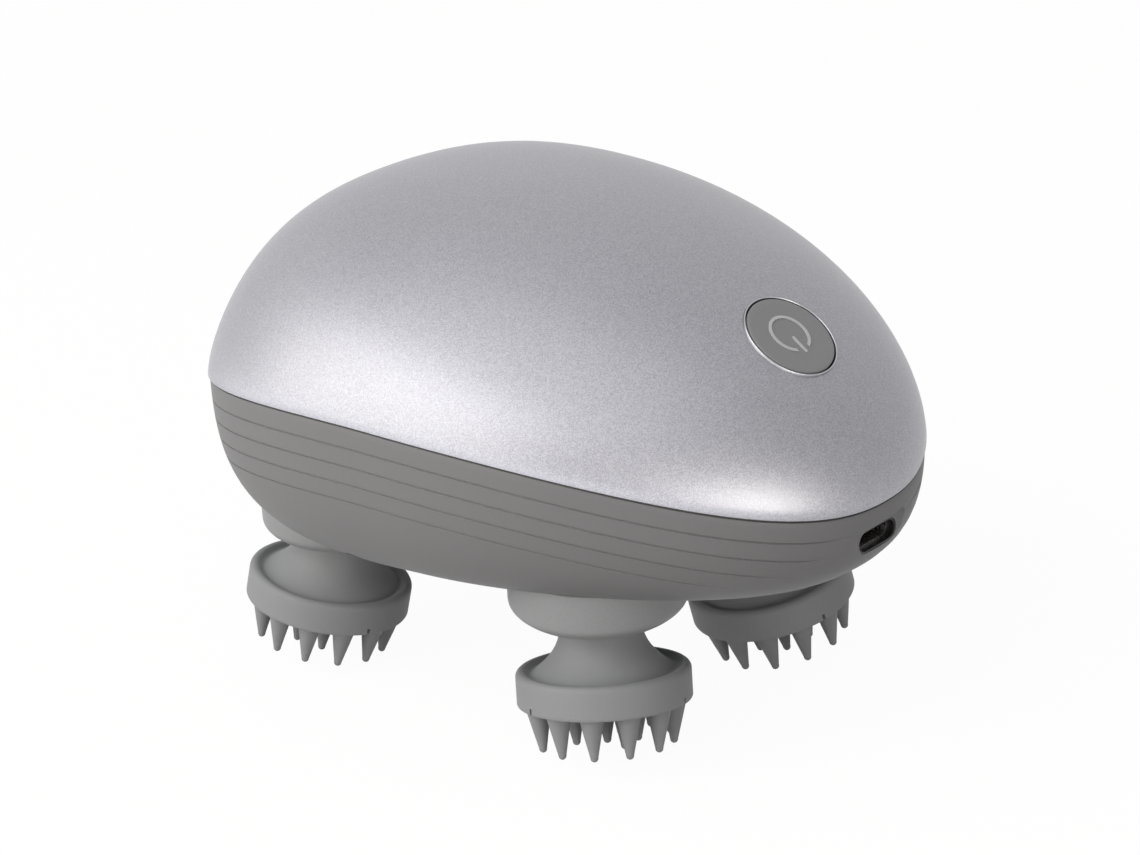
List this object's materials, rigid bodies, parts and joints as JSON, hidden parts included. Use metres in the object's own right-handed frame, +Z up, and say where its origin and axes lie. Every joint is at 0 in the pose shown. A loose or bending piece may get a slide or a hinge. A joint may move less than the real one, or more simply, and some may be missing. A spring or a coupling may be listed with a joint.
{
  "type": "electric scalp massager",
  "caption": "Handheld rechargeable scalp massager: an egg-shaped two-part shell with a power button and charging socket over turning soft-clawed massage heads driven by a worm gear train.",
  "frame": {"origin": "on the floor under the claw tips, at the middle of the body seen from above", "axes": "+Z up, -Y toward the end with the power button and charging socket, +X to the right seen from the rear"},
  "size_m": [0.0968, 0.1174, 0.0824],
  "materials": {
    "shell_silver": "satin metallic silver paint with fine flake",
    "shell_grey": "matte",
    "seal_rubber": "matte",
    "ring_chrome": "bright",
    "button_grey": "satin",
    "symbol_light": "printed",
    "port_black": "matte",
    "socket_steel": "nickel plated",
    "board_green": "solder mask",
    "screw_steel": "zinc plated",
    "frame_plastic": "natural",
    "shaft_steel": "ground",
    "bush_brass": "turned",
    "motor_steel": "zinc plated",
    "cell_wrap": "shrink sleeve",
    "gear_plastic": "moulded acetal",
    "dome_grey": "satin",
    "head_rubber": "soft matte"
  },
  "bodies": {
    "housing": {"upper_shell": "shell_silver", "lower_shell": "shell_grey", "shell_gasket": "seal_rubber", "button_ring": "ring_chrome", "port_sleeve": "port_black", "charge_socket": "socket_steel", "socket_tongue": "port_black", "main_board": "board_green", "charge_chip": "port_black", "switch_board": "board_green", "tact_switch": "port_black", "board_screws": "screw_steel", "shell_screws": "screw_steel", "gear_plate": "frame_plastic", "gear_cover": "frame_plastic", "gear_screws": "screw_steel", "idler_pins": "shaft_steel", "wheel_pins": "shaft_steel", "output_bushes": "bush_brass", "shaft_seals": "seal_rubber", "motor_can": "motor_steel", "motor_end_cap": "frame_plastic", "motor_clamp": "motor_steel", "clamp_screws": "screw_steel", "worm_bush": "bush_brass", "battery_cell": "cell_wrap", "battery_cap": "socket_steel"},
    "head_front_left": {"massage_head_front_left": "head_rubber", "head_dome_front_left": "dome_grey", "output_shaft_front_left": "shaft_steel", "output_gear_front_left": "gear_plastic"},
    "idler_body_front_left": {"idler_front_left": "gear_plastic"},
    "head_front_right": {"massage_head_front_right": "head_rubber", "head_dome_front_right": "dome_grey", "output_shaft_front_right": "shaft_steel", "output_gear_front_right": "gear_plastic"},
    "idler_body_front_right": {"idler_front_right": "gear_plastic"},
    "head_rear_left": {"massage_head_rear_left": "head_rubber", "head_dome_rear_left": "dome_grey", "output_shaft_rear_left": "shaft_steel", "output_gear_rear_left": "gear_plastic"},
    "idler_body_rear_left": {"idler_rear_left": "gear_plastic"},
    "head_rear_right": {"massage_head_rear_right": "head_rubber", "head_dome_rear_right": "dome_grey", "output_shaft_rear_right": "shaft_steel", "output_gear_rear_right": "gear_plastic"},
    "idler_body_rear_right": {"idler_rear_right": "gear_plastic"},
    "drive_left": {"drive_gear_left": "gear_plastic"},
    "drive_right": {"drive_gear_right": "gear_plastic"},
    "worm_rotor": {"worm": "gear_plastic", "motor_shaft": "shaft_steel"},
    "button": {"power_button": "button_grey", "power_symbol": "symbol_light"}
  },
  "joints": [
    {"name": "head_turn_front_left", "type": "hinge", "parent": "housing", "child": "head_front_left", "pos_m": [-0.0182, -0.018, 0.029], "axis": [0, 0, 1], "continuous": true},
    {"name": "head_turn_front_right", "type": "hinge", "parent": "housing", "child": "head_front_right", "pos_m": [0.0182, -0.018, 0.029], "axis": [0, 0, 1], "continuous": true},
    {"name": "head_turn_rear_left", "type": "hinge", "parent": "housing", "child": "head_rear_left", "pos_m": [-0.0182, 0.0364, 0.029], "axis": [0, 0, 1], "continuous": true},
    {"name": "head_turn_rear_right", "type": "hinge", "parent": "housing", "child": "head_rear_right", "pos_m": [0.0182, 0.0364, 0.029], "axis": [0, 0, 1], "continuous": true},
    {"name": "idler_turn_front_left", "type": "hinge", "parent": "housing", "child": "idler_body_front_left", "pos_m": [-0.0182, -0.0016, 0.0403], "axis": [0, 0, 1], "continuous": true},
    {"name": "idler_turn_front_right", "type": "hinge", "parent": "housing", "child": "idler_body_front_right", "pos_m": [0.0182, -0.0016, 0.0403], "axis": [0, 0, 1], "continuous": true},
    {"name": "idler_turn_rear_left", "type": "hinge", "parent": "housing", "child": "idler_body_rear_left", "pos_m": [-0.0182, 0.02, 0.0403], "axis": [0, 0, 1], "continuous": true},
    {"name": "idler_turn_rear_right", "type": "hinge", "parent": "housing", "child": "idler_body_rear_right", "pos_m": [0.0182, 0.02, 0.0403], "axis": [0, 0, 1], "continuous": true},
    {"name": "drive_turn_left", "type": "hinge", "parent": "housing", "child": "drive_left", "pos_m": [-0.0182, 0.0092, 0.045], "axis": [0, 0, 1], "continuous": true},
    {"name": "drive_turn_right", "type": "hinge", "parent": "housing", "child": "drive_right", "pos_m": [0.0182, 0.0092, 0.045], "axis": [0, 0, 1], "continuous": true},
    {"name": "worm_turn", "type": "hinge", "parent": "housing", "child": "worm_rotor", "pos_m": [0, 0.0092, 0.05268], "axis": [0, 1, 0], "continuous": true},
    {"name": "button_press", "type": "slide", "parent": "housing", "child": "button", "axis": [0, 0.5757, -0.8177], "range_m": [0, 0.0006], "stiffness_N_per_m": 1200, "springref_m": -0.0003}
  ],
  "couplings": [
    {"joint": "head_turn_front_right", "follows": "head_turn_front_left", "ratio": -1},
    {"joint": "head_turn_rear_left", "follows": "head_turn_front_left", "ratio": 1},
    {"joint": "head_turn_rear_right", "follows": "head_turn_front_left", "ratio": -1},
    {"joint": "idler_turn_front_left", "follows": "head_turn_front_left", "ratio": -2.1538},
    {"joint": "idler_turn_front_right", "follows": "head_turn_front_left", "ratio": 2.1538},
    {"joint": "idler_turn_rear_left", "follows": "head_turn_front_left", "ratio": -2.1538},
    {"joint": "idler_turn_rear_right", "follows": "head_turn_front_left", "ratio": 2.1538},
    {"joint": "drive_turn_left", "follows": "head_turn_front_left", "ratio": 2},
    {"joint": "drive_turn_right", "follows": "head_turn_front_left", "ratio": -2},
    {"joint": "worm_turn", "follows": "head_turn_front_left", "ratio": -70}
  ]
}
